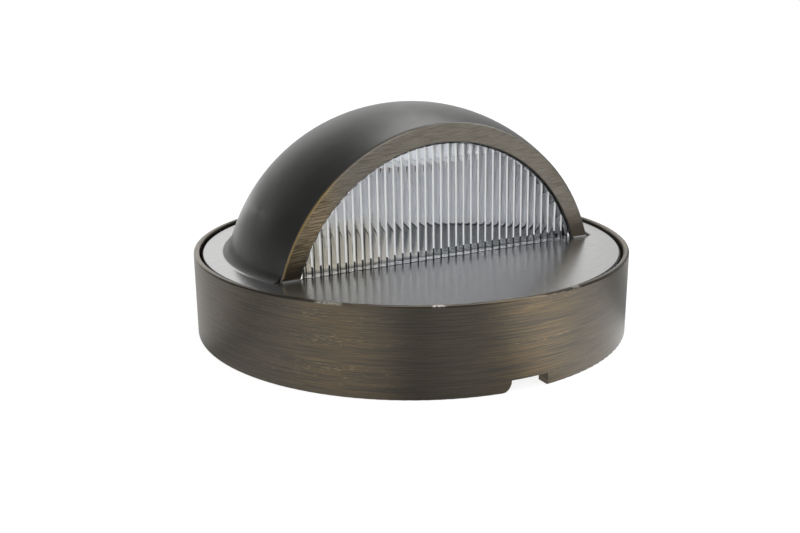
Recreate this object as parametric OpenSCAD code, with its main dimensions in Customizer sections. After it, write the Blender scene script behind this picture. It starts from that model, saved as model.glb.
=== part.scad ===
// Round surface deck light: a turned ring, a plate with a half-dome hood, and a window of ribbed glass.
// The origin is on the deck, on the ring's axis. +Z is up and the window faces -Y.

/* [Base ring] */
// Outer diameter of the ring
base_d = 102; // [100:1:120]
// Height of the ring
base_h = 19.3; // [18:0.1:26]
// Wall of the ring below the cover's seat
ring_wall = 3.2; // [3:0.1:4]
// Wall of the thin lip above the seat
lip_wall = 1.3; // [1:0.1:1.6]
// Rounding of the ring's edges
rim_round = 0.4; // [0.2:0.05:0.45]
// Thickness of the floor
floor_t = 2.2; // [1.6:0.1:2.6]
// Height of the cable space under the floor
floor_lift = 2.8; // [2.6:0.1:3.2]
// Width of the cable notch in the lower edge
notch_w = 8.7; // [6:0.1:12]
// Height of the cable notch
notch_h = 2.6; // [2:0.1:2.6]
// Rounding of the notch's lower left corner
notch_round = 2.4; // [0.5:0.1:2.5]
// Turn of the notch to the left of the window's middle, in degrees
notch_turn = 1.4; // [0:0.1:4]

/* [Deck fixing] */
// Number of deck screws
deck_screws = 3; // [3:1:3]
// Diameter of the circle through the deck screw holes
deck_pcd = 72; // [64:1:74]
// Diameter of a deck screw hole
deck_hole_d = 4.5; // [4:0.1:5.5]
// Diameter of the post round a deck screw hole
deck_post_d = 10; // [8:0.5:12]
// Height of the post's pad above the floor
deck_pad_h = 0.8; // [0.4:0.1:1]

/* [Cable inlet] */
// Diameter of the inlet hole in the floor
inlet_d = 12; // [10:0.5:14]
// Bore of the inlet grommet
inlet_bore_d = 7; // [5:0.1:8]
// Overhang of a grommet's flange
flange_w = 1.6; // [1:0.1:2]
// Thickness of a grommet's flange
flange_t = 1.2; // [0.8:0.1:1.4]
// Diameter of the supply hole in the tray
tray_hole_d = 8; // [7:0.1:9]
// Bore of the tray grommet
tray_bore_d = 5; // [4:0.1:6]

/* [Cover plate] */
// Depth of the plate's top below the ring's rim
plate_drop = 0.6; // [0.4:0.1:1.2]
// Thickness of the plate
plate_t = 3; // [2.8:0.1:3.4]
// Shadow gap between the plate's edge and the lip
shadow_gap = 0.6; // [0.3:0.05:0.8]
// Rounding of the plate's upper edge
plate_round = 0.4; // [0.2:0.05:0.6]
// Thickness of the gasket under the plate
cover_gasket_t = 0.8; // [0.5:0.1:1.2]
// Running gap between the skirt and the ring
skirt_gap = 0.4; // [0.3:0.05:0.6]
// Wall of the locating skirt
skirt_t = 2.2; // [1.8:0.1:2.4]
// Depth of the skirt below the plate
skirt_h = 6.8; // [6:0.1:7.2]
// Depth of the ring boss that the tray is screwed to
boss_h = 2.4; // [2:0.1:2.8]

/* [Hood] */
// Width of the plate's ledge round the dome's foot
plate_ledge = 6; // [5:0.1:6.5]
// Depth of the dome's centre below the plate's top
dome_sink = 11.3; // [10:0.1:11.8]
// Wall of the hood
hood_wall = 3.3; // [2.9:0.1:3.6]
// Extra wall at the crown, because the inside is struck from a lower centre
crown_extra = 0.4; // [0.2:0.1:1]
// Distance of the arch's face from the dome's centre
face_d = 16.85; // [16:0.05:18]
// Backward lean of the arch's face, in degrees
face_lean = 1.4; // [0:0.1:3]
// Rounding of the arch's outer edge
face_round = 0.6; // [0.3:0.05:0.8]
// Break of the window's edge
window_break = 0.25; // [0.1:0.05:0.4]
// Fillet where the dome meets the plate
foot_fillet = 2.4; // [1.5:0.1:2.8]
// Small cove at the arch's two feet
foot_cove = 0.6; // [0.4:0.1:1.4]

/* [Window] */
// Width of the arch's band beside the window
arch_band = 4; // [3.4:0.1:4.4]
// Depth of the lip in front of the glass
lip_t = 3.3; // [3:0.1:3.6]
// Thickness of the glass without its ribs
glass_t = 2.6; // [2.2:0.1:3]
// Depth of the ribs' crests behind the arch's face
glass_inset = 0.5; // [0.2:0.05:0.7]
// Gap between the glass's edge and the inside of the hood
glass_gap = 0.45; // [0.3:0.05:0.6]
// Thickness of the gasket between glass and lip
glass_gasket_t = 0.5; // [0.3:0.05:0.8]
// Distance from one rib to the next
rib_pitch = 1.97; // [1.4:0.01:3]
// Height of a rib
rib_h = 0.5; // [0.3:0.05:0.5]
// Gap between the ribs and the window's edge
rib_gap = 0.3; // [0.2:0.05:0.5]
// Gap between the ends of the bar under the glass and the boss
bar_gap = 1.1; // [0.6:0.1:2]
// Width of the bar, front to back
bar_w = 11.5; // [10:0.1:12]
// Thickness of the bar
bar_t = 1.6; // [1.5:0.1:1.8]
// Height of the bar's upright leg
bar_leg_h = 2.8; // [2:0.1:2.9]
// Thickness of the bar's upright leg
bar_leg_t = 1.2; // [1:0.1:1.5]
// Distance of a bar screw from the bar's end
bar_screw_end = 6; // [5:0.5:8]
// Distance of a bar screw from the bar's front edge
bar_screw_inset = 3; // [2.6:0.1:3.4]

/* [Reflector] */
// Wall of the reflector, and thickness of the floor plate under it
reflector_t = 1; // [0.8:0.1:1.4]
// Gap between the reflector and the hood
reflector_gap = 0.4; // [0.3:0.05:0.8]
// Bend radius of the reflector's back wall
reflector_bend = 45; // [42:0.5:60]
// Height of the floor plate above the cover plate's underside
floor_plate_lift = 1; // [0.8:0.1:1.4]
// Diameter of a foot under the floor plate
foot_d = 4; // [3:0.1:5]
// Distance between the floor plate's two side feet
foot_span = 48; // [40:1:52]

/* [Light engine] */
// Width of the LED board
led_board_w = 26; // [24:0.5:28]
// Depth of the LED board, front to back
led_board_d = 12; // [10:0.5:13]
// Thickness of the LED board
led_board_t = 1; // [0.8:0.1:1.2]
// Number of LED chips
led_count = 5; // [3:1:5]
// Distance from one chip to the next
led_pitch = 3.6; // [3:0.1:3.8]
// Width of a chip
led_w = 2; // [1.6:0.1:2.2]
// Thickness of a chip
led_t = 0.8; // [0.5:0.1:1]
// Distance of an LED board screw from the board's end
led_screw_end = 2.2; // [2:0.1:2.4]
// Thickness of the thermal pad
pad_t = 0.5; // [0.3:0.05:0.6]
// Place of the heat sink's middle behind the axis
sink_y = 4; // [2:0.5:5]
// Depth of the heat sink, front to back
sink_d = 14; // [13:0.5:15]
// Height of the heat sink at its corners
sink_edge = 3; // [2.6:0.1:3.6]
// Distance of a heat sink screw from the heat sink's end
sink_screw_end = 2.6; // [2.4:0.1:3]

/* [Gear tray] */
// Thickness of the tray
tray_t = 2; // [1.6:0.1:2.4]
// Gap between the tray and the skirt
tray_gap = 0.5; // [0.3:0.05:0.8]
// Thickness of the tray's gasket
tray_gasket_t = 0.6; // [0.4:0.05:0.8]
// Number of tray screws
tray_screws_n = 4; // [4:1:6]

/* [Driver] */
// Width of the driver board
driver_w = 36; // [35:0.5:38]
// Depth of the driver board, front to back
driver_d = 13; // [12.8:0.1:14]
// Thickness of the driver board
driver_t = 1.6; // [1:0.1:1.8]
// Gap between the reflector and the driver board
driver_gap = 1; // [0.8:0.1:1.4]
// Gap between the driver board's rear corners and the hood
driver_hood_gap = 1; // [0.6:0.1:1.4]
// Height of the pillars under the driver board
pillar_h = 3; // [2.4:0.1:3.4]
// Diameter of a pillar
pillar_d = 3.6; // [3:0.1:4]
// Distance of a pillar from the board's edges
pillar_inset = 2; // [1.9:0.1:2.2]
// Gap from one part on the driver board to the next
part_gap = 0.6; // [0.4:0.1:0.7]
// Width of the terminal block
terminal_w = 8; // [7:0.5:8]
// Depth of the terminal block, over its two ways
terminal_d = 10; // [9:0.5:10]
// Height of the terminal block
terminal_h = 7; // [6.5:0.5:8]
// Diameter of a terminal screw
terminal_screw_d = 3; // [2.6:0.1:3.2]
// Height of a terminal screw
terminal_screw_h = 2.2; // [1.8:0.1:2.4]
// Height of a wire mouth in the terminal block
mouth_h = 2.6; // [2:0.1:3]
// Width of the bridge rectifier
bridge_w = 7; // [6:0.5:7]
// Depth of the bridge rectifier
bridge_d = 5; // [4:0.5:5]
// Height of the bridge rectifier
bridge_h = 3; // [2.4:0.1:3.4]
// Width of the driver chip
chip_w = 5; // [4:0.5:6]
// Depth of the driver chip over its pins
chip_d = 5; // [4.5:0.1:5]
// Height of the driver chip
chip_h = 1.6; // [1.2:0.1:2]
// Distance from one pin of the chip to the next
pin_pitch = 1.27; // [1:0.01:1.27]
// Width of a pin of the chip
pin_w = 0.4; // [0.3:0.05:0.5]
// Diameter of the inductor
coil_d = 7; // [6:0.5:7]
// Height of the inductor
coil_h = 6; // [5:0.5:7]
// Thickness of the inductor's flanges
coil_flange_t = 1.2; // [0.8:0.1:1.4]
// Diameter of the smoothing capacitor
cap_d = 6.3; // [5:0.1:6.3]
// Height of the smoothing capacitor
cap_h = 8; // [7:0.5:9]
// Diameter of a lead to the LED board
lead_d = 1.3; // [1:0.05:1.35]

// Distance of the leads' forward run below the LED board
lead_drop = 3; // [2.4:0.1:3.5]

/* [Screws] */
// Diameter of the set screw
set_screw_d = 3; // [2.5:0.1:4]
// Depth of the set screw's axis below the cover's seat
set_screw_drop = 3.2; // [3:0.1:3.6]
// Depth of the set screw's outer end in the ring
set_screw_sink = 0.2; // [0.1:0.05:0.5]
// Gap between the slackened set screw and the skirt
set_screw_gap = 0.3; // [0.2:0.05:0.35]
// Width across the flats of the set screw's socket
socket_w = 1.5; // [1.3:0.1:2]
// Diameter of the tray, bar and foot screws
screw_d = 2.5; // [2:0.1:2.6]
// Head diameter of the tray and foot screws
head_d = 4.2; // [3.8:0.1:4.2]
// Head height of the tray and foot screws
head_h = 1.4; // [1:0.1:1.6]
// Diameter of the board screws
small_screw_d = 2; // [1.6:0.1:2]
// Head diameter of the board screws
small_head_d = 3.6; // [3.2:0.1:3.6]
// Head height of the board screws
small_head_h = 1.1; // [0.8:0.1:1.3]
// Width of a driver slot
slot_w = 0.6; // [0.4:0.05:0.8]
// Radial gap between a screw and its hole
thread_gap = 0.05; // [0.03:0.01:0.08]
// Depth of a blind thread
thread_depth = 2.2; // [1.8:0.1:2.2]
// Gap between pieces that only stand next to each other
seat_gap = 0.3; // [0.2:0.05:0.4]

/* [Hidden] */
$fn = 96;

// Overlap of joined shapes and overshoot of cuts
eps = 0.01;
// Half the size of the blocks that cut the shapes off
far = 70;

// Finishes
bronze = [0.30, 0.27, 0.23];
glass_tint = [0.80, 0.88, 0.92, 0.5];
seal_black = [0.08, 0.08, 0.08];
alloy = [0.72, 0.73, 0.74];
steel = [0.62, 0.62, 0.63];

// Highest level inside the hood above a place
function hood_z(x, y) = cavity_z + sqrt(cavity_r * cavity_r - x * x - y * y);

// Radii and levels of the base
base_r = base_d / 2;
bore_r = base_r - ring_wall;
lip_r = base_r - lip_wall;
floor_top_z = floor_lift + floor_t;

// Radii and levels of the cover
plate_r = lip_r - shadow_gap;
plate_top_z = base_h - plate_drop;
plate_low_z = plate_top_z - plate_t;
seat_z = plate_low_z - cover_gasket_t;
skirt_r = bore_r - skirt_gap;
skirt_in_r = skirt_r - skirt_t;
skirt_low_z = plate_low_z - skirt_h;
boss_low_z = plate_low_z - boss_h;
dome_z = plate_top_z - dome_sink;
dome_r = sqrt(pow(plate_r - plate_ledge, 2) + pow(dome_sink, 2));
cavity_r = dome_r - hood_wall;
cavity_z = dome_z - crown_extra;
boss_in_r = cavity_r - skirt_gap;
face_r = sqrt(dome_r * dome_r - face_d * face_d);
window_r = face_r - arch_band;

// Tray, hung from the boss by its gasket
tray_top_z = boss_low_z - tray_gasket_t;
tray_low_z = tray_top_z - tray_t;
tray_r = skirt_in_r - tray_gap;
tray_screw_r = (boss_in_r + skirt_in_r) / 2;

// Glass, counted in depth behind the arch's face
glass_front = lip_t + glass_gasket_t;
glass_back = glass_front + glass_t;
glass_r = sqrt(cavity_r * cavity_r - pow(face_d - lip_t, 2)) - glass_gap;
rib_r = window_r - rib_gap;
rib_root = glass_inset + rib_h;
rib_arc_r = (rib_h * rib_h + rib_pitch * rib_pitch / 4) / (2 * rib_h);
foot_y = -face_d / cos(face_lean) + dome_sink * tan(face_lean);
glass_back_y = foot_y + glass_back / cos(face_lean);

// Bar under the glass
bar_leg_y = glass_back_y + seat_gap;
bar_back_y = bar_leg_y + bar_leg_t;
bar_front_y = bar_back_y - bar_w;
bar_l = 2 * sqrt(pow(boss_in_r - bar_gap, 2) - pow(bar_front_y, 2));
bar_screw_x = bar_l / 2 - bar_screw_end;
bar_screw_y = bar_front_y + bar_screw_inset;
sunk_h = (head_d - screw_d) / 2;

// Driver board at the back of the hood
board_low_z = tray_top_z + pillar_h;
board_top_z = board_low_z + driver_t;
driver_room_r = sqrt(pow(cavity_r, 2) - pow(board_top_z - cavity_z, 2)) - driver_hood_gap;
driver_back_y = sqrt(pow(driver_room_r, 2) - pow(driver_w / 2, 2));
driver_y = driver_back_y - driver_d;
driver_mid_y = driver_y + driver_d / 2;
pillar_x = driver_w / 2 - pillar_inset;
pillar_front_y = driver_y + pillar_inset;
pillar_back_y = driver_back_y - pillar_inset;

// Reflector and floor plate, in front of the driver board
reflector_r = cavity_r - reflector_gap;
reflector_back = driver_y - driver_gap - reflector_t;
floor_plate_z = plate_low_z + floor_plate_lift;
reflector_low_z = floor_plate_z + reflector_t;

// Light engine, from the hood's crown down
sink_screw_x = led_board_w / 2 + seat_gap + head_d / 2;
sink_w = 2 * (sink_screw_x + sink_screw_end);
sink_low_z = hood_z(sink_w / 2, sink_y + sink_d / 2) - sink_edge;
board_pad_z = sink_low_z - pad_t;
led_z = board_pad_z - led_board_t;
led_screw_x = led_board_w / 2 - led_screw_end;
sink_screw_h = hood_z(sink_screw_x, sink_y) - sink_low_z;

// Parts on the driver board from left to right, and the leads up to the LED board
lead_x = lead_d / 2 + eps;
lead_y = driver_y + lead_d / 2 + 0.1;
lead_z = led_z - lead_drop;
lead_hole_d = 2 * lead_d + part_gap;
terminal_x = -pillar_x + small_head_d / 2 + seat_gap;
bridge_x = terminal_x + terminal_w + part_gap;
bridge_y = lead_y + lead_d / 2 + seat_gap;
chip_y = bridge_y + bridge_d + part_gap;
coil_x = bridge_x + bridge_w + part_gap + coil_d / 2;
cap_x = coil_x + coil_d / 2 + part_gap + cap_d / 2;

// Supply hole in the tray, beside the driver board
tray_hole_x = -(driver_w / 2 + tray_hole_d / 2 + flange_w + seat_gap);
tray_hole_y = driver_y;

// Set screw
set_screw_z = seat_z - set_screw_drop;
set_screw_out_y = base_r - set_screw_sink;
set_screw_l = set_screw_out_y - skirt_r - set_screw_gap;

// Everything above a level
module above(z) {
    translate([-far, -far, z]) cube([2 * far, 2 * far, far]);
}

// Everything in front of a depth y and below a level
module in_front_of(y, z) {
    translate([-far, -far, -far]) cube([2 * far, far + y, far + z]);
}

// The arch's own frame: the face is the plane y = 0, and y counts the depth behind it
module at_face() {
    translate([0, 0, dome_z]) rotate([-face_lean, 0, 0]) translate([0, -face_d, 0]) children();
}

// Everything deeper behind the arch's face than a depth
module behind_face(depth) {
    at_face() translate([-far, depth, -far]) cube(2 * far);
}

// A disc parallel to the face, concentric with the window
module window_disc(r, front, back) {
    at_face() translate([0, back, -crown_extra]) rotate([90, 0, 0]) cylinder(r = r, h = back - front);
}

// A ball concentric with the inside of the hood
module cavity_ball(r) {
    at_face() translate([0, face_d, -crown_extra]) sphere(r);
}

// A screw that points up, with its head below z = 0
module screw_up(d, head, head_height, grip) {
    difference() {
        union() {
            translate([0, 0, -head_height]) cylinder(d = head, h = head_height);
            translate([0, 0, -eps]) cylinder(d = d, h = grip + eps);
        }
        translate([-head, -slot_w / 2, -head_height - eps])
            cube([2 * head, slot_w, head_height / 2]);
    }
}

// A tube or washer
module pipe(r_out, r_in, h) {
    difference() {
        cylinder(r = r_out, h = h);
        translate([0, 0, -1]) cylinder(r = r_in, h = h + 2);
    }
}

// A grommet that grips a wall from low to high
module grommet(hole, bore, low, high) {
    difference() {
        union() {
            translate([0, 0, low - flange_t]) cylinder(d = hole + 2 * flange_w, h = flange_t);
            translate([0, 0, low - eps]) cylinder(d = hole, h = high - low + 2 * eps);
            translate([0, 0, high]) cylinder(d = hole + 2 * flange_w, h = flange_t);
        }
        translate([0, 0, low - flange_t - 1]) cylinder(d = bore, h = high - low + 2 * flange_t + 2);
    }
}

module at_deck_screws() {
    for (i = [0 : deck_screws - 1])
        rotate([0, 0, 90 + i * 360 / deck_screws]) translate([deck_pcd / 2, 0, 0]) children();
}

module at_tray_screws() {
    for (i = [0 : tray_screws_n - 1])
        rotate([0, 0, 180 / tray_screws_n + i * 360 / tray_screws_n])
            translate([tray_screw_r, 0, 0]) children();
}

// Section of the ring, with its edges rounded
module ring_section() {
    translate([bore_r, 0]) square([ring_wall - rim_round, seat_z]);
    translate([bore_r, rim_round]) square([ring_wall, seat_z - rim_round]);
    translate([base_r - rim_round, rim_round]) circle(rim_round);
    translate([lip_r, seat_z - 1]) square([lip_wall, base_h - rim_round - seat_z + 1]);
    translate([lip_r + rim_round, seat_z]) square([lip_wall - 2 * rim_round, base_h - seat_z]);
    for (x = [lip_r + rim_round, base_r - rim_round])
        translate([x, base_h - rim_round]) circle(rim_round);
    translate([0, floor_lift]) square([bore_r + 1, floor_t]);
}

// Notch in the lower edge, square on its right and rounded at its lower left corner
module notch() {
    rotate([0, 0, -notch_turn]) translate([0, -bore_r + 3, 0]) rotate([90, 0, 0])
        linear_extrude(ring_wall + 6) {
            translate([-notch_w / 2, -1]) square([notch_w, notch_h + 1]);
            difference() {
                translate([-notch_w / 2 - notch_round, -1]) square([notch_round + eps, notch_round + 1]);
                translate([-notch_w / 2 - notch_round, notch_round]) circle(notch_round);
            }
        }
}

module base_ring() {
    color(bronze) difference() {
        union() {
            rotate_extrude() ring_section();
            at_deck_screws() cylinder(d = deck_post_d, h = floor_top_z + deck_pad_h);
        }
        notch();
        translate([0, 0, -1]) cylinder(d = inlet_d, h = floor_top_z + 2);
        at_deck_screws() translate([0, 0, -1]) cylinder(d = deck_hole_d, h = floor_top_z + 3);
        translate([0, bore_r - 1, set_screw_z]) rotate([-90, 0, 0])
            cylinder(d = set_screw_d + 2 * thread_gap, h = ring_wall + 2);
    }
}

module cable_grommet() {
    color(seal_black) grommet(inlet_d, inlet_bore_d, floor_lift, floor_top_z);
}

module set_screw() {
    color(steel) translate([0, set_screw_out_y, set_screw_z]) rotate([90, 0, 0]) difference() {
        union() {
            cylinder(d = set_screw_d, h = set_screw_l - 0.5);
            translate([0, 0, set_screw_l - 0.5 - eps])
                cylinder(d1 = set_screw_d, d2 = set_screw_d / 2, h = 0.5 + eps);
        }
        translate([0, 0, -1]) cylinder(d = socket_w / cos(30), h = 2.2, $fn = 6);
    }
}

module cover_gasket() {
    color(seal_black) translate([0, 0, seat_z]) pipe(plate_r, bore_r + 0.1, cover_gasket_t);
}

// Section of the plate, its skirt and the boss that carries the tray
module cover_section() {
    translate([0, plate_low_z]) square([plate_r, plate_t - plate_round]);
    translate([0, plate_low_z]) square([plate_r - plate_round, plate_t]);
    translate([plate_r - plate_round, plate_top_z - plate_round]) circle(plate_round);
    translate([skirt_in_r, skirt_low_z]) square([skirt_t, skirt_h + 1]);
    translate([boss_in_r, boss_low_z]) square([skirt_in_r - boss_in_r + 1, boss_h + 1]);
}

// Section of the dome, with the fillet round its foot
module dome_section() {
    c = [sqrt(pow(dome_r + foot_fillet, 2) - pow(dome_sink + foot_fillet, 2)), plate_top_z + foot_fillet];
    intersection() {
        union() {
            translate([0, dome_z]) circle(dome_r);
            difference() {
                polygon([[0, dome_z], [c[0], dome_z], c]);
                translate(c) circle(foot_fillet);
            }
        }
        translate([0, plate_top_z - 1]) square(far);
    }
}

// Everything behind the arch's face, with the arch's outer edge rounded
module behind_round_face() {
    proud = 0.06;
    edge_r = sqrt(pow(dome_r - face_round + proud, 2) - pow(face_d - face_round, 2));
    behind_face(face_round);
    at_face() rotate([-90, 0, 0]) rotate_extrude() {
        square([edge_r, 2 * face_round]);
        translate([edge_r, face_round]) circle(face_round);
    }
}

// Coves at the feet of the arch, between its face and the plate
module foot_coves() {
    inner = sqrt(window_r * window_r - pow(dome_sink + crown_extra, 2));
    outer = sqrt(face_r * face_r - dome_sink * dome_sink);
    for (side = [0, 1]) mirror([side, 0, 0]) difference() {
        translate([inner, foot_y - foot_cove, plate_top_z - 0.5])
            cube([outer - inner, foot_cove + 0.5, foot_cove + 0.5]);
        translate([inner - 1, foot_y - foot_cove, plate_top_z + foot_cove]) rotate([0, 90, 0])
            cylinder(r = foot_cove, h = outer - inner + 2);
    }
}

module hood_cover() {
    color(bronze) difference() {
        union() {
            rotate_extrude() cover_section();
            intersection() {
                rotate_extrude() dome_section();
                behind_round_face();
            }
            foot_coves();
        }
        // Room inside, behind the lip
        intersection() {
            cavity_ball(cavity_r);
            behind_face(lip_t);
            above(plate_low_z - 1);
        }
        // Window in the lip
        intersection() {
            union() {
                window_disc(window_r, -2, lip_t + 1);
                at_face() translate([0, -window_break, -crown_extra]) rotate([-90, 0, 0])
                    cylinder(r1 = window_r + 2 * window_break, r2 = window_r, h = 2 * window_break);
            }
            above(plate_top_z);
        }
        // Blind threads for the tray, for the glass's bar and for the heat sink
        at_tray_screws() translate([0, 0, boss_low_z - 1])
            cylinder(d = screw_d + 2 * thread_gap, h = boss_h + thread_depth + 1);
        for (x = [-1, 1]) translate([x * bar_screw_x, bar_screw_y, plate_low_z - 1])
            cylinder(d = screw_d + 2 * thread_gap, h = thread_depth + 1);
        at_sink_screws() cylinder(d = screw_d + 2 * thread_gap, h = sink_screw_h + thread_depth);
    }
}

// Ribs on the front of the glass, side by side, one of them in the middle
module ribs() {
    n = ceil(rib_r / rib_pitch);
    at_face() translate([0, 0, -2]) linear_extrude(dome_r) intersection() {
        for (i = [-n : n]) translate([i * rib_pitch, glass_inset + rib_arc_r]) circle(rib_arc_r);
        translate([-rib_r, glass_inset - 1]) square([2 * rib_r, rib_h + 1 + 0.2]);
    }
}

module lens() {
    color(glass_tint) intersection() {
        union() {
            window_disc(glass_r, glass_front, glass_back);
            intersection() {
                union() {
                    ribs();
                    behind_face(rib_root);
                }
                window_disc(rib_r, glass_inset - 1, glass_front + 0.5);
                above(plate_top_z + 0.1);
            }
        }
        above(plate_low_z);
    }
}

module lens_gasket() {
    color(seal_black) intersection() {
        difference() {
            window_disc(glass_r, lip_t, glass_front);
            intersection() {
                window_disc(rib_r + 0.1, lip_t - 1, glass_front + 1);
                above(plate_top_z - 0.1);
            }
        }
        above(plate_low_z);
    }
}

module lens_bar() {
    color(alloy) difference() {
        union() {
            translate([-bar_l / 2, bar_front_y, plate_low_z - bar_t]) cube([bar_l, bar_w, bar_t]);
            translate([-bar_l / 2, bar_leg_y, plate_low_z - eps])
                cube([bar_l, bar_back_y - bar_leg_y, bar_leg_h + eps]);
        }
        for (x = [-1, 1]) translate([x * bar_screw_x, bar_screw_y, plate_low_z - bar_t]) {
            translate([0, 0, -1]) cylinder(d = screw_d + 2 * thread_gap, h = bar_t + 2);
            translate([0, 0, -eps])
                cylinder(d1 = head_d + 2 * thread_gap, d2 = screw_d + 2 * thread_gap, h = sunk_h);
        }
    }
}

// Countersunk screws, flush with the bar's underside
module lens_bar_screws() {
    color(steel) for (x = [-1, 1])
        translate([x * bar_screw_x, bar_screw_y, plate_low_z - bar_t]) difference() {
            union() {
                cylinder(d1 = head_d, d2 = screw_d, h = sunk_h);
                cylinder(d = screw_d, h = bar_t + thread_depth - 0.2);
            }
            translate([-head_d, -slot_w / 2, -eps]) cube([2 * head_d, slot_w, 0.5]);
        }
}

// Room between the glass and a back wall bent to a radius, inside a ball
module scoop(ball_r, bend_r) {
    intersection() {
        cavity_ball(ball_r);
        translate([0, reflector_back - reflector_bend, 0]) cylinder(r = bend_r, h = far);
        behind_face(glass_back + seat_gap);
    }
}

// Thin scoop behind the glass: domed top and bent back wall, open below and in front
module reflector() {
    color([0.93, 0.93, 0.92]) difference() {
        intersection() {
            scoop(reflector_r, reflector_bend + reflector_t);
            above(reflector_low_z);
        }
        intersection() {
            cavity_ball(reflector_r - reflector_t);
            translate([0, reflector_back - reflector_bend, 0]) cylinder(r = reflector_bend, h = far);
        }
        in_front_of(bar_back_y + seat_gap, plate_low_z + bar_leg_h + seat_gap);
        translate([0, sink_y, sink_low_z]) linear_extrude(far)
            square([sink_w + 2 * seat_gap, sink_d + 2 * seat_gap], center = true);
        translate([0, reflector_back - 1, lead_z]) rotate([-90, 0, 0])
            cylinder(d = lead_hole_d, h = reflector_t + 2);
    }
}

// Floor under the reflector, on three feet
module floor_plate() {
    color([0.35, 0.36, 0.38]) {
        difference() {
            intersection() {
                scoop(reflector_r, reflector_bend + reflector_t);
                translate([0, 0, floor_plate_z]) cylinder(r = far, h = reflector_t);
            }
            in_front_of(bar_back_y + seat_gap, far);
        }
        for (place = [[-foot_span / 2, 0], [foot_span / 2, 0], [0, reflector_back - foot_d]])
            translate([place[0], place[1], tray_top_z])
                cylinder(d = foot_d, h = floor_plate_z - tray_top_z + eps);
    }
}

module at_sink_screws() {
    for (x = [-1, 1]) translate([x * sink_screw_x, sink_y, sink_low_z]) children();
}

// Block with a domed top that carries the heat from the LED board into the hood's crown
module heat_sink() {
    color(alloy) difference() {
        intersection() {
            cavity_ball(cavity_r - thread_gap);
            translate([0, sink_y, sink_low_z]) linear_extrude(far) square([sink_w, sink_d], center = true);
        }
        at_sink_screws() translate([0, 0, -1]) cylinder(d = screw_d + 2 * thread_gap, h = far);
        led_screw_holes(sink_low_z + thread_depth);
    }
}

module heat_sink_screws() {
    color(steel) at_sink_screws() screw_up(screw_d, head_d, head_h, sink_screw_h + thread_depth - 0.3);
}

// The screws' holes in the LED board, the pad and the heat sink, up to a level
module led_screw_holes(top_z) {
    for (x = [-1, 1]) translate([x * led_screw_x, sink_y, led_z - 1])
        cylinder(d = small_screw_d + 2 * thread_gap, h = top_z - led_z + 1);
}

// A flat layer of the LED board's outline
module led_layer(low_z, thickness) {
    difference() {
        translate([0, sink_y, low_z]) linear_extrude(thickness)
            square([led_board_w, led_board_d], center = true);
        led_screw_holes(low_z + thickness + 1);
    }
}

module thermal_pad() {
    color([0.62, 0.70, 0.78]) led_layer(board_pad_z, pad_t);
}

module led_board() {
    color([0.92, 0.93, 0.94]) led_layer(led_z, led_board_t);
}

module led_chips() {
    color([0.98, 0.86, 0.35]) for (i = [0 : led_count - 1])
        translate([(i - (led_count - 1) / 2) * led_pitch - led_w / 2, sink_y - led_w / 2, led_z - led_t])
            cube([led_w, led_w, led_t]);
}

module led_board_screws() {
    color(steel) for (x = [-1, 1]) translate([x * led_screw_x, sink_y, led_z])
        screw_up(small_screw_d, small_head_d, small_head_h, led_board_t + pad_t + thread_depth - 0.3);
}

module gear_tray() {
    color(alloy) difference() {
        translate([0, 0, tray_low_z]) cylinder(r = tray_r, h = tray_t);
        at_tray_screws() translate([0, 0, tray_low_z - 1])
            cylinder(d = screw_d + 2 * thread_gap, h = tray_t + 2);
        translate([tray_hole_x, tray_hole_y, tray_low_z - 1]) cylinder(d = tray_hole_d, h = tray_t + 2);
    }
}

module tray_gasket() {
    color(seal_black) translate([0, 0, tray_top_z]) difference() {
        pipe(tray_r, boss_in_r + 0.2, tray_gasket_t);
        at_tray_screws() translate([0, 0, -1])
            cylinder(d = screw_d + 2 * thread_gap, h = tray_gasket_t + 2);
    }
}

module tray_screws() {
    color(steel) at_tray_screws() translate([0, 0, tray_low_z])
        screw_up(screw_d, head_d, head_h, tray_t + tray_gasket_t + boss_h + thread_depth - 0.3);
}

module tray_grommet() {
    color(seal_black) translate([tray_hole_x, tray_hole_y, 0])
        grommet(tray_hole_d, tray_bore_d, tray_low_z, tray_top_z);
}

module at_pillars() {
    for (x = [-pillar_x, pillar_x])
        for (y = [pillar_front_y, pillar_back_y])
            translate([x, y, 0]) children();
}

module board_pillars() {
    color([0.75, 0.65, 0.35]) at_pillars() translate([0, 0, tray_top_z])
        pipe(pillar_d / 2, small_screw_d / 2 + thread_gap, pillar_h);
}

module board_screws() {
    color(steel) at_pillars() translate([0, 0, board_top_z]) mirror([0, 0, 1])
        screw_up(small_screw_d, small_head_d, small_head_h, driver_t + pillar_h - 0.3);
}

module driver_board() {
    color([0.10, 0.40, 0.22]) difference() {
        translate([-driver_w / 2, driver_y, board_low_z]) cube([driver_w, driver_d, driver_t]);
        at_pillars() translate([0, 0, board_low_z - 1])
            cylinder(d = small_screw_d + 2 * thread_gap, h = driver_t + 2);
    }
}

module bridge_rectifier() {
    color([0.13, 0.13, 0.14]) translate([bridge_x, bridge_y, board_top_z])
        cube([bridge_w, bridge_d, bridge_h]);
}

module driver_chip() {
    chip_x = bridge_x + (bridge_w - chip_w) / 2;
    color([0.10, 0.10, 0.11]) translate([chip_x, chip_y, board_top_z]) union() {
        translate([0, chip_d / 6, 0]) cube([chip_w, chip_d * 2 / 3, chip_h]);
        for (i = [0 : 3])
            translate([(chip_w - 3 * pin_pitch - pin_w) / 2 + i * pin_pitch, 0, 0])
                cube([pin_w, chip_d, chip_h / 3]);
    }
}

module inductor() {
    color([0.55, 0.33, 0.16]) translate([coil_x, driver_mid_y, board_top_z]) union() {
        cylinder(d = coil_d, h = coil_flange_t);
        cylinder(d = coil_d * 0.8, h = coil_h);
        translate([0, 0, coil_h - coil_flange_t]) cylinder(d = coil_d, h = coil_flange_t);
    }
}

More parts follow.
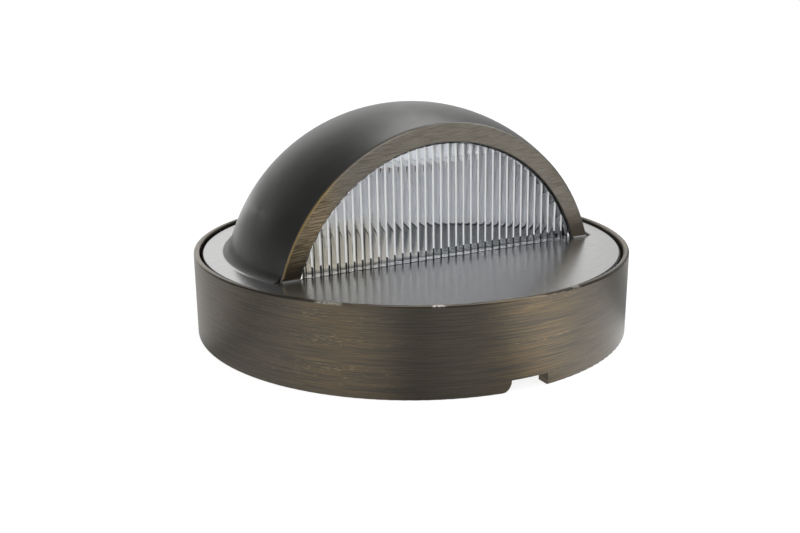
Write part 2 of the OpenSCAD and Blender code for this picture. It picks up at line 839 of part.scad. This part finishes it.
// A can with a groove near its foot and a cross scored in its top
module smoothing_capacitor() {
    groove = cap_d / 16;
    color([0.16, 0.20, 0.42]) translate([cap_x, driver_mid_y, board_top_z]) difference() {
        cylinder(d = cap_d, h = cap_h);
        translate([0, 0, 3 * groove]) rotate_extrude()
            translate([cap_d / 2 + groove / 2, 0]) circle(groove);
        for (a = [0, 90]) rotate([0, 0, a]) translate([-cap_d / 3, -groove / 3, cap_h - groove / 2])
            cube([2 * cap_d / 3, groove * 2 / 3, groove]);
    }
}

// Places of the terminal block's two ways
module at_terminals() {
    for (i = [0, 1])
        translate([terminal_x + terminal_w / 2, driver_mid_y + (i - 0.5) * terminal_d / 2, board_top_z])
            children();
}

module terminal_block() {
    color([0.16, 0.45, 0.28]) difference() {
        translate([terminal_x, driver_mid_y - terminal_d / 2, board_top_z])
            cube([terminal_w, terminal_d, terminal_h]);
        at_terminals() {
            translate([-terminal_w, -mouth_h / 2, chip_h]) cube([terminal_w * 0.9, mouth_h, mouth_h]);
            translate([0, 0, terminal_h - terminal_screw_h])
                cylinder(d = terminal_screw_d + 2 * thread_gap, h = terminal_screw_h + 1);
        }
    }
}

module terminal_screws() {
    color(steel) at_terminals() translate([0, 0, terminal_h - terminal_screw_h]) difference() {
        cylinder(d = terminal_screw_d, h = terminal_screw_h - 0.4);
        translate([-terminal_screw_d, -slot_w / 2, terminal_screw_h - 1])
            cube([2 * terminal_screw_d, slot_w, 1]);
    }
}

// A lead: up from the driver board, forward through the reflector, and up to the LED board
module led_lead(side) {
    end_y = sink_y + led_board_d / 2 - lead_d;
    translate([side * lead_x, 0, 0]) {
        translate([0, lead_y, board_top_z]) cylinder(d = lead_d, h = lead_z - board_top_z);
        for (y = [end_y, lead_y]) translate([0, y, lead_z]) sphere(d = lead_d);
        translate([0, end_y, lead_z]) rotate([-90, 0, 0]) cylinder(d = lead_d, h = lead_y - end_y);
        translate([0, end_y, lead_z]) cylinder(d = lead_d, h = led_z - lead_z);
    }
}

module led_lead_positive() {
    color([0.75, 0.10, 0.08]) led_lead(1);
}

module led_lead_negative() {
    color([0.07, 0.07, 0.08]) led_lead(-1);
}

base_ring();
cable_grommet();
set_screw();
cover_gasket();
hood_cover();
lens();
lens_gasket();
lens_bar();
lens_bar_screws();
reflector();
floor_plate();
heat_sink();
thermal_pad();
led_board();
led_chips();
led_board_screws();
gear_tray();
tray_gasket();
tray_screws();
heat_sink_screws();
tray_grommet();
board_pillars();
board_screws();
driver_board();
bridge_rectifier();
smoothing_capacitor();
inductor();
driver_chip();
terminal_block();
terminal_screws();
led_lead_positive();
led_lead_negative();
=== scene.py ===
# Round deck light with a half-dome hood and a ribbed glass window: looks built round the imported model
import math

import bmesh
import bpy
from mathutils import Matrix, Vector

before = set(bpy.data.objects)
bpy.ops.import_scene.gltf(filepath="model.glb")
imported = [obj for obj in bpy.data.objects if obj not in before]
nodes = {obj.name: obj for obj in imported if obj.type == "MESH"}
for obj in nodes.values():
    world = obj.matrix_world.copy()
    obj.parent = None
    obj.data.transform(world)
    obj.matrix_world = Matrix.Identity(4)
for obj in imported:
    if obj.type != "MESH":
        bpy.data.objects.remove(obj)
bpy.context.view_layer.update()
mm = 0.001


# Camera, at the photograph's angle
camera = {
    "place": (-0.10908, -0.19500, 0.07677),
    "turn": -28.549,      # degrees round the vertical
    "pitch": 16.031,      # degrees below the horizon
    "roll": -0.333,
    "lens": 43.339,
}


def makeCamera():
    data = bpy.data.cameras.new("photoCamera")
    data.lens = camera["lens"]
    data.sensor_width = 36
    data.sensor_fit = "HORIZONTAL"
    data.clip_start = 0.005
    cam = bpy.data.objects.new("photoCamera", data)
    turn = Matrix.Rotation(math.radians(camera["turn"]), 4, "Z")
    tilt = Matrix.Rotation(math.radians(90 - camera["pitch"]), 4, "X")
    roll = Matrix.Rotation(math.radians(camera["roll"]), 4, "Z")
    cam.matrix_world = Matrix.Translation(camera["place"]) @ turn @ tilt @ roll
    bpy.context.scene.collection.objects.link(cam)
    bpy.context.scene.camera = cam
    print("camera placed")


makeCamera()


# Small helpers for node trees
def newMaterial(name):
    mat = bpy.data.materials.new(name)
    mat.use_nodes = True
    tree = mat.node_tree
    tree.nodes.clear()
    out = tree.nodes.new("ShaderNodeOutputMaterial")
    shader = tree.nodes.new("ShaderNodeBsdfPrincipled")
    tree.links.new(shader.outputs["BSDF"], out.inputs["Surface"])
    return mat, tree, shader


def setIn(tree, node, **values):
    # a value that is a socket is linked, anything else is set
    for key, value in values.items():
        socket = node.inputs[int(key[1:])] if key[0] == "_" else node.inputs[key.replace("_", " ")]
        if isinstance(value, bpy.types.NodeSocket):
            tree.links.new(value, socket)
        else:
            socket.default_value = value
    return node


def math1(tree, kind, a, b=0.0, c=0.0, clamp=False):
    node = tree.nodes.new("ShaderNodeMath")
    node.operation = kind
    node.use_clamp = clamp
    setIn(tree, node, _0=a, _1=b, _2=c)
    return node.outputs[0]


def ramp(tree, value, low, high):
    # smooth step from 0 at low to 1 at high
    node = tree.nodes.new("ShaderNodeMapRange")
    node.interpolation_type = "SMOOTHSTEP"
    setIn(tree, node, Value=value, From_Min=low, From_Max=high)
    return node.outputs["Result"]


def noise(tree, vector, scale, detail=2.0, rough=0.5, distort=0.0):
    node = tree.nodes.new("ShaderNodeTexNoise")
    setIn(tree, node, Vector=vector, Scale=scale, Detail=detail, Roughness=rough, Distortion=distort)
    return node.outputs["Fac"]


def mixColor(tree, factor, a, b, kind="MIX"):
    node = tree.nodes.new("ShaderNodeMix")
    node.data_type = "RGBA"
    node.blend_type = kind
    setIn(tree, node, _0=factor, _6=a, _7=b)
    return node.outputs[2]


def combine(tree, x, y, z):
    node = tree.nodes.new("ShaderNodeCombineXYZ")
    setIn(tree, node, _0=x, _1=y, _2=z)
    return node.outputs[0]


def objectPlace(tree):
    # object coordinates in millimetres, and the surface's own direction
    coords = tree.nodes.new("ShaderNodeTexCoord")
    scale = tree.nodes.new("ShaderNodeVectorMath")
    scale.operation = "SCALE"
    setIn(tree, scale, _0=coords.outputs["Object"], Scale=1 / mm)
    place = tree.nodes.new("ShaderNodeSeparateXYZ")
    tree.links.new(scale.outputs[0], place.inputs[0])
    facing = tree.nodes.new("ShaderNodeSeparateXYZ")
    tree.links.new(coords.outputs["Normal"], facing.inputs[0])
    return scale.outputs[0], place.outputs, facing.outputs


def bump(tree, height, strength, distance, normal=None):
    node = tree.nodes.new("ShaderNodeBump")
    setIn(tree, node, Height=height, Strength=strength, Distance=distance)
    if normal:
        tree.links.new(normal, node.inputs["Normal"])
    return node.outputs[0]


def dress(name, material):
    slots = nodes[name].data.materials
    slots.clear()
    slots.append(material)


# Ring: antique bronze, brushed round and round, dark, with warm bands round the wall that are partly brass
# showing through the brushing and partly painted highlight
ring = {
    "dark": (0.108, 0.100, 0.086, 1),
    "warm": (0.178, 0.152, 0.116, 1),
    "gold": (0.250, 0.180, 0.100, 1),
    "brass": (0.56, 0.42, 0.24, 1),
    "rubbed": (0.34, 0.31, 0.27, 1),
    "bare": (0.80, 0.76, 0.68, 1),
    "roughness": 0.34,
    "height": 19.3,
    # painted highlight patches round the wall, partly real brass: middle and half width in degrees, from -Y
    # towards +X
    "sheenPatches": ((-45.5, 8), (0, 9), (62, 12), (118, 16), (170, 18), (-110, 16)),
    # worn spots on the rim: middle and half width in degrees, from -Y towards +X
    "chips": ((-47.5, 3.0), (-23.3, 1.3), (11.7, 1.0), (95, 2.0), (-150, 2.5)),
}


def nearAngle(tree, angle, middle, half, soft):
    # the shorter way round, so that a patch may lie across the back
    away = math1(tree, "MODULO", math1(tree, "ADD", angle, 540 - middle), 360)
    away = math1(tree, "ABSOLUTE", math1(tree, "SUBTRACT", away, 180))
    return ramp(tree, away, half + soft, half - soft)


def roundAndRound(tree, place, slow, shift):
    # a place that changes slowly round the ring and fully up its wall, without a seam
    return combine(tree, math1(tree, "MULTIPLY", place[0], slow),
                   math1(tree, "MULTIPLY_ADD", place[1], slow, shift), place[2])


def ringBronze():
    mat, tree, shader = newMaterial("ringBronze")
    where, place, _ = objectPlace(tree)
    # angle from -Y, positive towards +X, in degrees
    turn = math1(tree, "ARCTAN2", place[0], math1(tree, "MULTIPLY", place[1], -1.0))
    degrees = math1(tree, "MULTIPLY", turn, 180 / math.pi)
    fine = noise(tree, roundAndRound(tree, place, 0.012, 0.0), 7.0, 4.0, 0.68)
    broad = noise(tree, roundAndRound(tree, place, 0.03, 7.0), 0.5, 2.0, 0.5)
    scratch = noise(tree, roundAndRound(tree, place, 0.10, 3.0), 7.0, 2.0, 0.6)
    fleck = noise(tree, where, 3.0, 2.0, 0.6)
    patch = 0.0
    for middle, half in ring["sheenPatches"]:
        patch = math1(tree, "ADD", patch, nearAngle(tree, degrees, middle, half, 9.0))
    colour = mixColor(tree, ramp(tree, fine, 0.38, 0.66), ring["dark"], ring["warm"])
    # painted highlight in the patches, partly brass showing through the brushing
    goldenSheen = math1(tree, "MULTIPLY", ramp(tree, fine, 0.42, 0.62), patch)
    colour = mixColor(tree, math1(tree, "MULTIPLY", goldenSheen, 0.75, clamp=True), colour, ring["gold"])
    worn = math1(tree, "MULTIPLY", ramp(tree, scratch, 0.60, 0.70), ramp(tree, broad, 0.46, 0.62))
    # worn brass shows more strongly inside the painted highlight patches
    worn = math1(tree, "MULTIPLY", worn, math1(tree, "MULTIPLY_ADD", patch, 0.6, 0.25))
    colour = mixColor(tree, math1(tree, "MULTIPLY", worn, 0.8, clamp=True), colour, ring["brass"])
    edge = ramp(tree, place[2], ring["height"] - 0.42, ring["height"] - 0.12)
    chip = 0.0
    for middle, half in ring["chips"]:
        chip = math1(tree, "ADD", chip, nearAngle(tree, degrees, middle, half, 0.5))
    chipped = math1(tree, "MULTIPLY", math1(tree, "MULTIPLY", edge, chip), ramp(tree, fleck, 0.42, 0.52))
    # lighter along the rim's top edge: partly rubbed wear, partly painted highlight
    rubbed = math1(tree, "MULTIPLY", edge, ramp(tree, broad, 0.35, 0.7))
    colour = mixColor(tree, math1(tree, "MULTIPLY", rubbed, 0.35), colour, ring["rubbed"])
    colour = mixColor(tree, chipped, colour, ring["bare"])
    rough = math1(tree, "MULTIPLY_ADD", fine, 0.16, ring["roughness"] - 0.08)
    tangent = tree.nodes.new("ShaderNodeTangent")
    tangent.direction_type = "RADIAL"
    tangent.axis = "Z"
    setIn(tree, shader, Base_Color=colour, Metallic=1.0, Roughness=rough, Anisotropic=0.7,
          Anisotropic_Rotation=0.25, Tangent=tangent.outputs[0],
          Normal=bump(tree, fine, 0.12, 0.00002))
    return mat


# Hood and plate: the same bronze on the object, satin on the dome and brushed straight on the flats; the
# plate's colour is written much lighter than the dome's, a painted reflection of the bright light its flat
# top mirrors
hood = {
    "domeDark": (0.159, 0.159, 0.155, 1),
    "domeLight": (0.199, 0.199, 0.194, 1),
    "plateSheenDark": (0.469, 0.469, 0.463, 1),
    "plateSheenLight": (0.572, 0.572, 0.565, 1),
    "faceDark": (0.120, 0.109, 0.091, 1),
    "faceLight": (0.226, 0.205, 0.172, 1),
    "goldDark": (0.110, 0.085, 0.052, 1),
    "goldLight": (0.440, 0.345, 0.215, 1),
    "worn": (0.34, 0.31, 0.27, 1),
    "footShade": (0.055, 0.045, 0.032, 1),
    "archRadius": 41.25,     # of the arch's outer edge, in millimetres
    "archMiddle": 7.4,       # its level
    "faceY": -17.036,        # the arch's face at level 0, and its lean
    "faceLean": 0.02444,
    "brass": (0.52, 0.37, 0.16, 1),
    "plateTop": 18.7,        # level of the plate, in millimetres
    "roughness": 0.38,
    "plateGloss": -0.15,     # what the plate's roughness is changed by
}


def behindFace(tree, place):
    # how far behind the arch's leaning face, in millimetres
    faceHere = math1(tree, "MULTIPLY_ADD", place[2], hood["faceLean"], hood["faceY"])
    return math1(tree, "SUBTRACT", place[1], faceHere)


def hoodBronze():
    mat, tree, shader = newMaterial("hoodBronze")
    where, place, facing = objectPlace(tree)
    top, rim = hood["plateTop"], hood["archRadius"]
    flatUp = math1(tree, "MULTIPLY", ramp(tree, facing[2], 0.96, 0.995),
                   ramp(tree, place[2], top + 0.5, top + 0.1))
    front = ramp(tree, facing[1], -0.93, -0.985)
    lines = noise(tree, combine(tree, math1(tree, "MULTIPLY", place[0], 0.045), place[1], 0.0), 6.0, 3.0, 0.6)
    # brush strokes on the face, rising a little to the right
    across = math1(tree, "MULTIPLY_ADD", place[0], -0.07, place[2])
    strokes = noise(tree, combine(tree, math1(tree, "MULTIPLY", place[0], 0.03), 0.0, across), 6.0, 3.0, 0.75)
    # how far out on the arch
    up = math1(tree, "SUBTRACT", place[2], hood["archMiddle"])
    outward = math1(tree, "MULTIPLY_ADD", up, up, math1(tree, "MULTIPLY", place[0], place[0]))
    outward = math1(tree, "SQRT", outward)
    behind = behindFace(tree, place)
    cloud = noise(tree, where, 0.08, 3.0, 0.55)
    grain = noise(tree, where, 9.0, 2.0, 0.6)
    domeColour = mixColor(tree, ramp(tree, cloud, 0.3, 0.7), hood["domeDark"], hood["domeLight"])
    # painted reflection: the plate is written lighter than the dome though it is the same bronze
    plateSheenColour = mixColor(tree, ramp(tree, lines, 0.3, 0.7), hood["plateSheenDark"], hood["plateSheenLight"])
    faceColour = mixColor(tree, ramp(tree, strokes, 0.35, 0.65), hood["faceDark"], hood["faceLight"])
    # left leg of the arch: gold strokes and a bare outer edge; the face darkens towards its feet, a painted
    # shade where it meets the plate
    leg = ramp(tree, place[0], -24.0, -31.0)
    goldColour = mixColor(tree, ramp(tree, strokes, 0.42, 0.60), hood["goldDark"], hood["goldLight"])
    faceColour = mixColor(tree, math1(tree, "MULTIPLY", leg, 0.85), faceColour, goldColour)
    # painted shade: the face darkens towards its feet, next to the plate
    foot = math1(tree, "MULTIPLY", ramp(tree, place[2], 27.0, 20.0), 0.85)
    faceColour = mixColor(tree, foot, faceColour, hood["footShade"])
    colour = mixColor(tree, flatUp, domeColour, plateSheenColour)
    colour = mixColor(tree, front, colour, faceColour)
    arris = math1(tree, "MULTIPLY", ramp(tree, outward, rim - 0.26, rim - 0.14),
                  ramp(tree, behind, 0.18, 0.08))
    arris = math1(tree, "MULTIPLY", arris, ramp(tree, grain, 0.30, 0.50))
    arris = math1(tree, "MULTIPLY", arris, ramp(tree, place[2], top + 0.6, top + 1.2))
    rubbed = math1(tree, "MULTIPLY", arris, ramp(tree, place[0], -2.0, -14.0))
    colour = mixColor(tree, math1(tree, "MULTIPLY", rubbed, 0.7), colour, hood["worn"])
    colour = mixColor(tree, math1(tree, "MULTIPLY", arris, leg), colour, hood["brass"])
    rough = math1(tree, "MULTIPLY_ADD", flatUp, hood["plateGloss"], hood["roughness"])
    tangent = tree.nodes.new("ShaderNodeTangent")
    tangent.direction_type = "RADIAL"
    tangent.axis = "X"
    setIn(tree, shader, Base_Color=colour, Metallic=1.0, Roughness=rough, Anisotropic=0.5,
          Tangent=tangent.outputs[0], Normal=bump(tree, grain, 0.05, 0.00002))
    return mat


# Window: clear ribbed glass. White lines along the narrow valleys between the ribs are painted highlights,
# ending in short painted dark reflections above the plate.
glass = {
    "pitch": 1.97,           # of the ribs, in millimetres
    "valley": 0.22,          # half width of a valley's line
    "glintFoot": 20.9,        # level where the white lines end
    "clear": (0.965, 0.975, 1.0, 1),
    # white: painted highlight of the valley lines; dark: painted dark reflection below their foot
    "white": (0.97, 0.97, 0.98, 1),
    "dark": (0.03, 0.035, 0.04, 1),
    # painted light refracted from the lit room behind the lower left corner
    "litCream": (1.0, 0.96, 0.86, 1),     # of its lower left corner
    "cornerX": (-11.0, -21.0),         # where the corner starts, and where it is full
    "cornerZ": (32.0, 27.0),
}


def ribbedGlass():
    mat, tree, shader = newMaterial("ribbedGlass")
    _, place, _ = objectPlace(tree)
    step = math1(tree, "DIVIDE", place[0], glass["pitch"])
    fromCrest = math1(tree, "ABSOLUTE", math1(tree, "SUBTRACT", step, math1(tree, "ROUND", step)))
    fromValley = math1(tree, "MULTIPLY", math1(tree, "SUBTRACT", 0.5, fromCrest), glass["pitch"])
    glintLine = ramp(tree, fromValley, glass["valley"] + 0.05, glass["valley"] - 0.05)
    front = ramp(tree, behindFace(tree, place), 1.4, 1.2)
    glintLine = math1(tree, "MULTIPLY", glintLine, front)
    # lower left corner: painted cream light refracted from the room behind, with a thin painted dark line
    # beside each white one
    corner = math1(tree, "MULTIPLY", ramp(tree, place[0], *glass["cornerX"]),
                   ramp(tree, place[2], *glass["cornerZ"]))
    beside = math1(tree, "FRACT", math1(tree, "ADD", step, 99.76))
    beside = math1(tree, "ABSOLUTE", math1(tree, "SUBTRACT", beside, 0.5))
    shade = math1(tree, "MULTIPLY", ramp(tree, beside, 0.09, 0.05), corner)
    shade = math1(tree, "MULTIPLY", shade, front)
    wander = noise(tree, combine(tree, step, 0.0, 0.0), 1.7, 1.0, 0.5)
    foot = math1(tree, "MULTIPLY_ADD", wander, 1.4, glass["glintFoot"] - 0.7)
    # below the foot the lines turn to painted dark reflection
    above = math1(tree, "GREATER_THAN", place[2], foot)
    glintColour = mixColor(tree, above, glass["dark"], glass["white"])
    colour = mixColor(tree, corner, glass["clear"], glass["litCream"])
    colour = mixColor(tree, shade, colour, (0.04, 0.04, 0.035, 1))
    colour = mixColor(tree, glintLine, colour, glintColour)
    clear = math1(tree, "SUBTRACT", 1.0, math1(tree, "MAXIMUM", glintLine, math1(tree, "MULTIPLY", shade, 0.8)))
    setIn(tree, shader, Base_Color=colour, Roughness=0.02, IOR=1.49, Transmission_Weight=clear)
    return mat


# Reflector: white moulding, with painted shade along the joint at its foot
reflector = {
    "white": (0.82, 0.835, 0.865, 1),
    "jointShade": (0.02, 0.02, 0.025, 1),
    "jointShadeTop": 18.25,       # level of the joint's upper edge, in millimetres
    "jointShadeX": (-20.0, -6.0),           # where the joint starts, and where it is full
}


def reflectorWhite():
    mat, tree, shader = newMaterial("reflectorWhite")
    where, place, _ = objectPlace(tree)
    top = reflector["jointShadeTop"]
    # painted shade in the crease where the reflector meets the floor plate
    jointShade = math1(tree, "MULTIPLY", ramp(tree, place[2], top + 0.1, top - 0.1),
                  ramp(tree, place[0], *reflector["jointShadeX"]))
    mottle = noise(tree, where, 1.0, 3.0, 0.55)
    colour = mixColor(tree, jointShade, reflector["white"], reflector["jointShade"])
    setIn(tree, shader, Base_Color=colour, Roughness=0.45, Normal=bump(tree, mottle, 0.03, 0.00005))
    return mat


# Floor behind the window: satin grey with lighter wisps, and a painted pale light over its left end
floorPlate = {
    "dark": (0.15, 0.165, 0.18, 1),
    "wisp": (0.36, 0.37, 0.38, 1),
    "paleLit": (0.92, 0.89, 0.82, 1),
    "paleLitFrom": 5.0,         # where the paler end starts, in millimetres
    "paleLitTo": -7.0,
}


def floorGrey():
    mat, tree, shader = newMaterial("floorGrey")
    _, place, _ = objectPlace(tree)
    along = math1(tree, "MULTIPLY", place[0], 0.3)
    wisps = noise(tree, combine(tree, along, place[1], 0.0), 0.9, 3.0, 0.6, 0.6)
    colour = mixColor(tree, ramp(tree, wisps, 0.52, 0.70), floorPlate["dark"], floorPlate["wisp"])
    # painted light: the left end of the floor is paler where light falls in from the right
    litEnd = ramp(tree, place[0], floorPlate["paleLitFrom"], floorPlate["paleLitTo"])
    colour = mixColor(tree, litEnd, colour, floorPlate["paleLit"])
    setIn(tree, shader, Base_Color=colour, Roughness=0.4)
    return mat


def plain(name, colour, roughness, metallic=0.0, scale=2.0, depth=0.05, contrast=0.12):
    # moulded, cast or rolled stock with a faint mottle
    mat, tree, shader = newMaterial(name)
    where, _, _ = objectPlace(tree)
    mottle = noise(tree, where, scale, 3.0, 0.55)
    darker = tuple(c * (1 - contrast) for c in colour) + (1,)
    lighter = tuple(min(1, c * (1 + contrast)) for c in colour) + (1,)
    setIn(tree, shader, Base_Color=mixColor(tree, ramp(tree, mottle, 0.3, 0.7), darker, lighter),
          Roughness=roughness, Metallic=metallic, Normal=bump(tree, mottle, depth, 0.00005))
    return mat


def dressAll():
    dress("base_ring", ringBronze())
    dress("hood_cover", hoodBronze())
    dress("lens", ribbedGlass())
    steel = plain("screwSteel", (0.55, 0.55, 0.56), 0.32, 1.0, 6.0)
    alloy = plain("rolledAlloy", (0.70, 0.71, 0.72), 0.38, 1.0, 3.0)
    rubber = plain("blackRubber", (0.03, 0.03, 0.03), 0.7, 0.0, 5.0, 0.1)
    looks = {
        "set_screw": steel, "lens_bar_screws": steel, "led_board_screws": steel, "tray_screws": steel,
        "heat_sink_screws": steel, "board_screws": steel, "terminal_screws": steel,
        "lens_bar": alloy, "heat_sink": alloy, "gear_tray": alloy,
        "cable_grommet": rubber, "cover_gasket": rubber, "lens_gasket": rubber, "tray_gasket": rubber,
        "tray_grommet": rubber,
        "reflector": reflectorWhite(),
        "floor_plate": floorGrey(),
        "thermal_pad": plain("padBlueGrey", (0.58, 0.62, 0.66), 0.8, 0.0, 4.0, 0.1),
        "led_board": plain("boardWhite", (0.88, 0.89, 0.90), 0.35),
        "led_chips": plain("phosphorGel", (0.95, 0.80, 0.25), 0.45),
        "board_pillars": plain("turnedBrass", (0.70, 0.58, 0.28), 0.3, 1.0),
        "driver_board": plain("boardGreen", (0.05, 0.28, 0.14), 0.4),
        "bridge_rectifier": plain("blackMoulding", (0.05, 0.05, 0.055), 0.5),
        "driver_chip": plain("chipMoulding", (0.045, 0.045, 0.05), 0.45),
        "smoothing_capacitor": plain("capSleeve", (0.05, 0.07, 0.22), 0.3),
        "inductor": plain("coilWire", (0.42, 0.20, 0.08), 0.35),
        "terminal_block": plain("terminalGreen", (0.06, 0.32, 0.16), 0.5),
        "led_lead_positive": plain("leadRed", (0.42, 0.12, 0.10), 0.5),
        "led_lead_negative": plain("leadBlack", (0.03, 0.03, 0.03), 0.5),
    }
    for name, material in looks.items():
        dress(name, material)
    print("materials assigned to", len(looks) + 3, "nodes")


dressAll()


# Studio: a pale table, soft lamps, and large soft cards that the metal mirrors.
# Azimuths are in degrees from the camera's side, positive to the right in the picture.
studio = {
    "floorSize": 3.0,
    "floorColour": (0.2, 0.2, 0.2, 1),
    "floorGlow": 0.87,
    "worldLevel": 1.05,
    "seenThroughGlass": 1.0,
    # card seen only through the glass, that lights the room behind it: azimuth, elevation, half width, level
    "windowCard": (25, 30, 80, 2.6),
    "cardBase": 0.08,
    # name: azimuth, elevation, half width, level
    "cards": {
        "low000": (0, 8, 42, 0.0),
        "low040": (40, 8, 38, 0.04),
        "low070": (70, 8, 36, 0.0),
        "low100": (100, 8, 36, 0.11),
        "low130": (130, 8, 36, 0.0),
        "low160": (160, 8, 36, 0.21),
        "low190": (190, 8, 36, 0.84),
        "low220": (220, 8, 36, 0.34),
        "low250": (250, 8, 36, 0.0),
        "low285": (285, 8, 40, 0.0),
        "low325": (325, 8, 42, 0.69),
        "mid000": (0, 48, 42, 0.0),
        "mid060": (60, 48, 42, 0.0),
        "mid120": (120, 48, 42, 0.0),
        "mid180": (180, 48, 42, 0.18),
        "mid240": (240, 48, 42, 0.0),
        "mid300": (300, 48, 42, 0.0),
        "zenith": (0, 90, 42, 0.22),
    },
    "tableBase": 0.08,
    # name: azimuth, half width, level
    "tableSpots": {
        "table000": (0, 34, 0.0),
        "table030": (30, 34, 0.24),
        "table060": (60, 34, 0.91),
        "table090": (90, 34, 0.08),
        "table180": (180, 75, 1.07),
        "table270": (270, 34, 0.38),
        "table300": (300, 34, 0.04),
        "table330": (330, 34, 0.41),
    },
}
cameraSide = math.atan2(camera["place"][1], camera["place"][0])


def towards(azimuth, elevation):
    around = cameraSide + math.radians(azimuth)
    up = math.radians(elevation)
    return Vector((math.cos(around) * math.cos(up), math.sin(around) * math.cos(up), math.sin(up)))


def lobes(tree, direction, base, spots):
    # sum of soft round patches of light over a base level
    total = base
    for spot, half, level in spots:
        if level <= 0:
            continue
        along = tree.nodes.new("ShaderNodeVectorMath")
        along.operation = "DOT_PRODUCT"
        setIn(tree, along, _0=direction, _1=spot)
        patch = ramp(tree, along.outputs["Value"], math.cos(math.radians(half)), 1.0)
        total = math1(tree, "MULTIPLY_ADD", patch, level, total)
    return total


def makeFloor():
    bm = bmesh.new()
    bmesh.ops.create_grid(bm, x_segments=1, y_segments=1, size=studio["floorSize"] / 2)
    mesh = bpy.data.meshes.new("floor")
    bm.to_mesh(mesh)
    bm.free()
    floor = bpy.data.objects.new("floor", mesh)
    bpy.context.scene.collection.objects.link(floor)
    mat = bpy.data.materials.new("whiteFloor")
    mat.use_nodes = True
    tree = mat.node_tree
    tree.nodes.clear()
    out = tree.nodes.new("ShaderNodeOutputMaterial")
    rays = tree.nodes.new("ShaderNodeLightPath").outputs
    coords = tree.nodes.new("ShaderNodeTexCoord")
    outward = tree.nodes.new("ShaderNodeVectorMath")
    outward.operation = "NORMALIZE"
    setIn(tree, outward, _0=coords.outputs["Object"])
    spots = [(towards(a, 0), h, v) for a, h, v in studio["tableSpots"].values()]
    mirrored = lobes(tree, outward.outputs[0], studio["tableBase"], spots)
    diffuse = setIn(tree, tree.nodes.new("ShaderNodeBsdfDiffuse"), Color=studio["floorColour"])
    glow = tree.nodes.new("ShaderNodeEmission")
    seen = math1(tree, "MULTIPLY", rays["Is Camera Ray"], studio["floorGlow"])
    mirrored = math1(tree, "MULTIPLY", rays["Is Glossy Ray"], mirrored)
    through = math1(tree, "MULTIPLY", rays["Is Transmission Ray"], studio["seenThroughGlass"])
    setIn(tree, glow, Strength=math1(tree, "ADD", seen, math1(tree, "MAXIMUM", mirrored, through)))
    both = setIn(tree, tree.nodes.new("ShaderNodeAddShader"), _0=diffuse.outputs[0], _1=glow.outputs[0])
    tree.links.new(both.outputs[0], out.inputs["Surface"])
    mesh.materials.append(mat)


def makeWorld():
    world = bpy.data.worlds.new("studio")
    bpy.context.scene.world = world
    world.use_nodes = True
    tree = world.node_tree
    tree.nodes.clear()
    out = tree.nodes.new("ShaderNodeOutputWorld")
    rays = tree.nodes.new("ShaderNodeLightPath").outputs
    coords = tree.nodes.new("ShaderNodeTexCoord")
    spots = [(towards(a, e), h, v) for a, e, h, v in studio["cards"].values()]
    mirrored = lobes(tree, coords.outputs["Generated"], studio["cardBase"], spots)
    mirrored = math1(tree, "MULTIPLY", rays["Is Glossy Ray"], mirrored)
    a, e, h, v = studio["windowCard"]
    inward = lobes(tree, coords.outputs["Generated"], studio["seenThroughGlass"], [(towards(a, e), h, v)])
    through = math1(tree, "MULTIPLY", rays["Is Transmission Ray"], inward)
    direct = math1(tree, "MAXIMUM", rays["Is Camera Ray"], through)
    soft = math1(tree, "MULTIPLY", rays["Is Diffuse Ray"], studio["worldLevel"])
    total = math1(tree, "ADD", math1(tree, "MAXIMUM", mirrored, direct), soft)
    back = setIn(tree, tree.nodes.new("ShaderNodeBackground"), Color=(1, 1, 1, 1), Strength=total)
    tree.links.new(back.outputs[0], out.inputs["Surface"])


def softBox(name, azimuth, elevation, distance, width, height, power):
    spot = towards(azimuth, elevation)
    data = bpy.data.lights.new(name, "AREA")
    data.shape = "RECTANGLE"
    data.size = width
    data.size_y = height
    data.energy = power
    lamp = bpy.data.objects.new(name, data)
    lamp.location = Vector((0, 0, 0.02)) + spot * distance
    lamp.rotation_euler = (-spot).to_track_quat("-Z", "Y").to_euler()
    bpy.context.scene.collection.objects.link(lamp)


def makeStudio():
    makeFloor()
    makeWorld()
    softBox("rightBox", 78, 30, 0.8, 0.5, 0.6, 2)
    softBox("topBox", 150, 65, 1.0, 0.8, 0.6, 3)
    print("studio lit")


makeStudio()

bpy.context.scene.view_settings.view_transform = "Standard"
